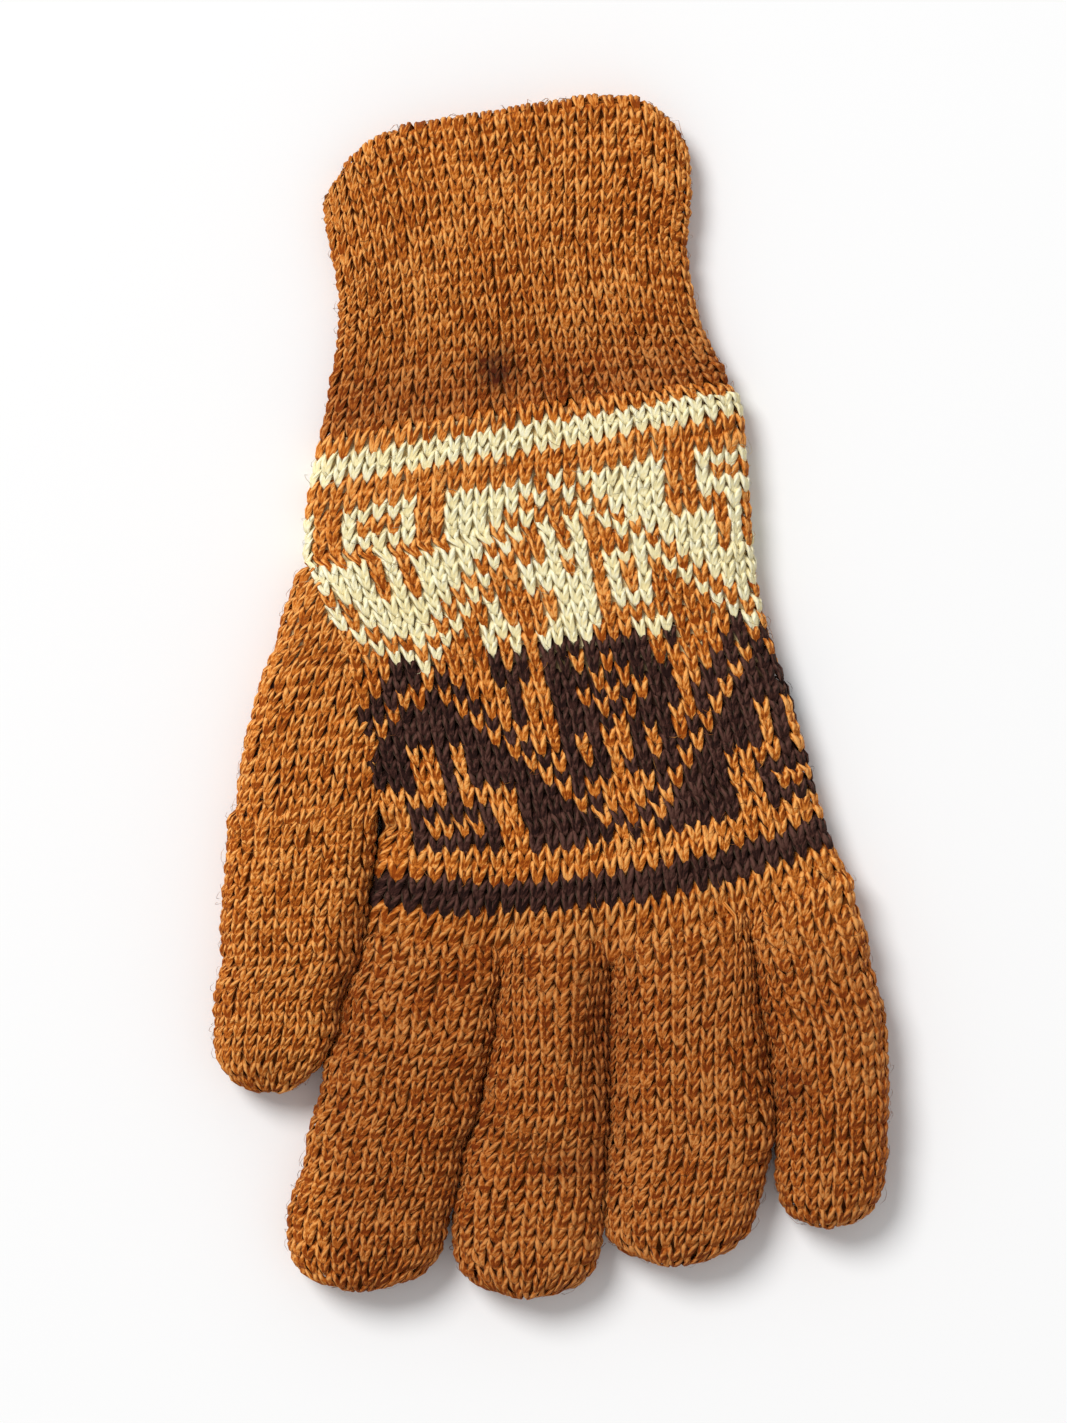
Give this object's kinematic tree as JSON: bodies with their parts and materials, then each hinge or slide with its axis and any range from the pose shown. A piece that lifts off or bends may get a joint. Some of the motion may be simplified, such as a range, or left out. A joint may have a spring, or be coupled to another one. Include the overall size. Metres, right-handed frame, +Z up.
{
  "type": "knitted glove",
  "caption": "Hand-knitted wool glove with a snug cuff, a patterned hand, a thumb on a gusset and separate fingers, lying flat.",
  "frame": {"origin": "on the surface the glove lies on, under the middle of its outline", "axes": "+Z up out of the surface, +Y along the glove towards the cuff, so the fingers point to -Y and the thumb lies on the -X side"},
  "size_m": [0.1452, 0.2596, 0.016],
  "materials": {
    "caramel_knit": "matte hand-knitted alpaca wool, heathered caramel",
    "patterned_knit": "matte hand-knitted alpaca wool, stranded in caramel, cream and dark brown"
  },
  "bodies": {
    "root": {"cuff": "caramel_knit", "hand": "patterned_knit", "thumb": "caramel_knit", "index_finger": "caramel_knit", "middle_finger": "caramel_knit", "ring_finger": "caramel_knit", "little_finger": "caramel_knit"}
  },
  "joints": []
}
